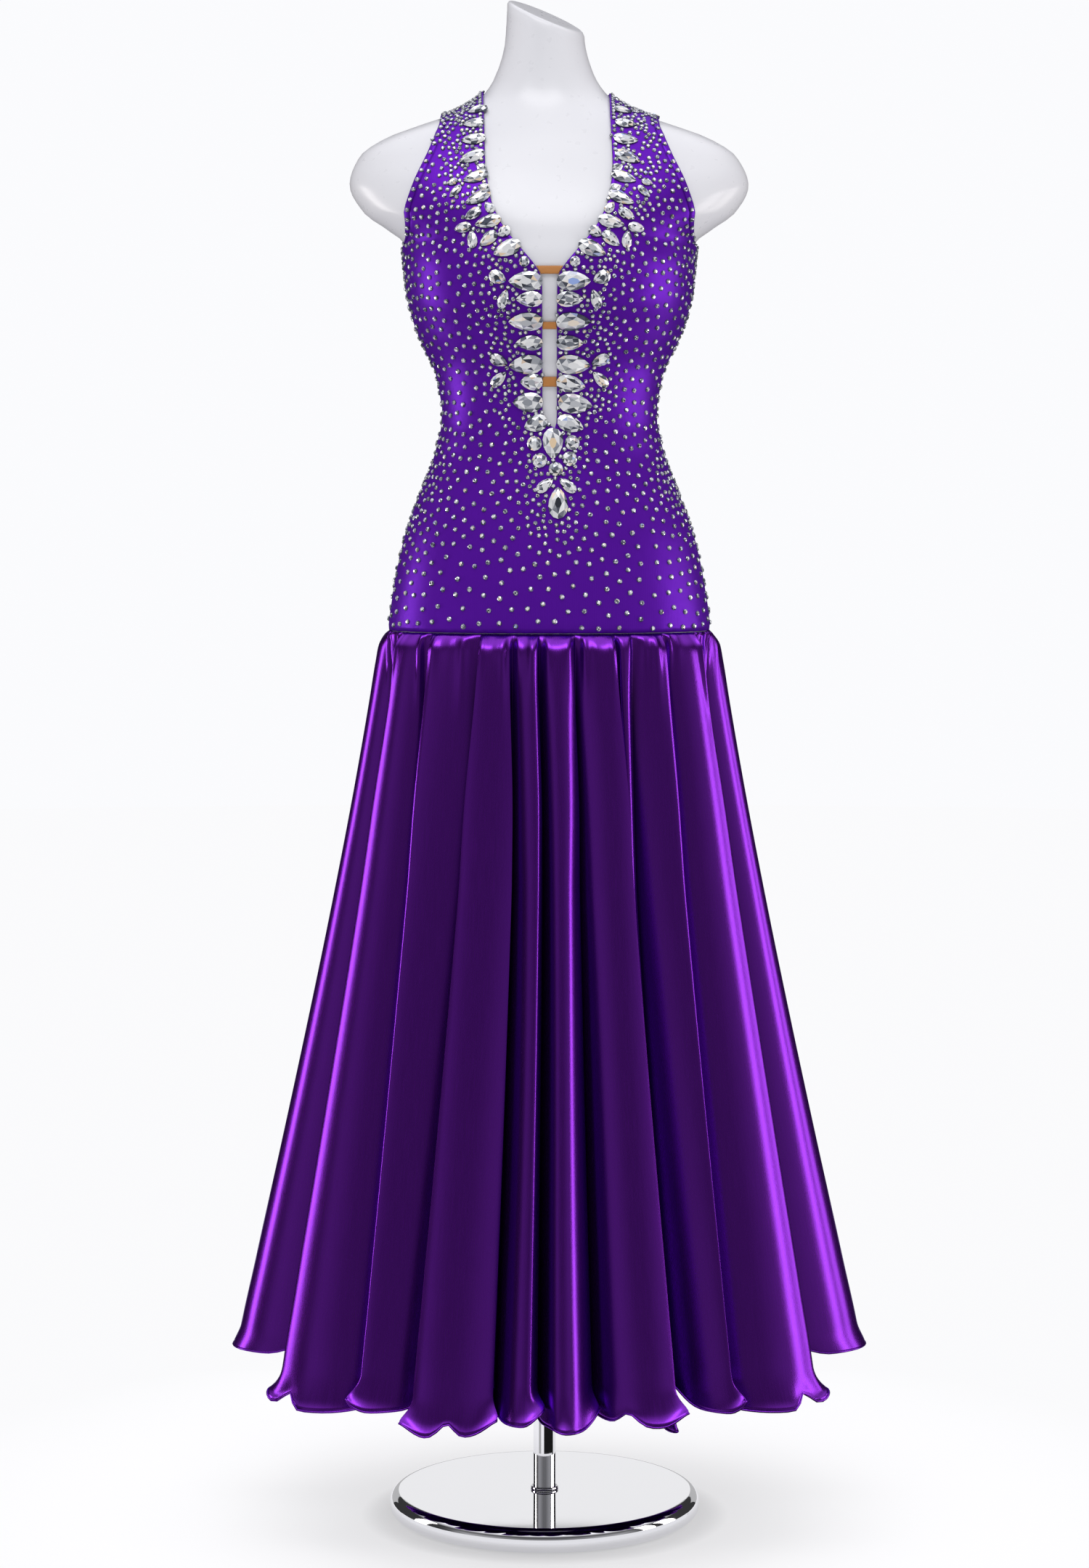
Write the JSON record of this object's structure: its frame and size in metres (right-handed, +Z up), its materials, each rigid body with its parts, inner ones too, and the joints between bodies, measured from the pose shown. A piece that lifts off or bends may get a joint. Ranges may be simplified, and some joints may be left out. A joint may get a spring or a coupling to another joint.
{
  "type": "v-neck ballroom gown on a dress form with a stand",
  "caption": "Long violet gown with a fitted crystal bodice, a barred front keyhole and a full fluted satin skirt, on a white limbless dress form with a chrome pole and round base.",
  "frame": {"origin": "centre of the base's underside, on the floor", "axes": "+Z up, the gown's front faces -Y, +X to the right of someone who looks at the front"},
  "size_m": [0.655, 0.6064, 1.5482],
  "materials": {
    "chrome": "mirror polished",
    "form_white": "glossy",
    "violet_jersey": "stretch knit with crystals",
    "tan_elastic": "matte elastic",
    "violet_satin": "glossy satin"
  },
  "bodies": {
    "root": {"base_plate": "chrome", "pole": "chrome", "pole_ring": "chrome", "form_torso": "form_white", "bodice_front": "violet_jersey", "bodice_back": "violet_jersey", "bridge_bar_1": "tan_elastic", "bridge_bar_2": "tan_elastic", "bridge_bar_3": "tan_elastic", "skirt_front": "violet_satin", "skirt_back": "violet_satin"}
  },
  "joints": []
}
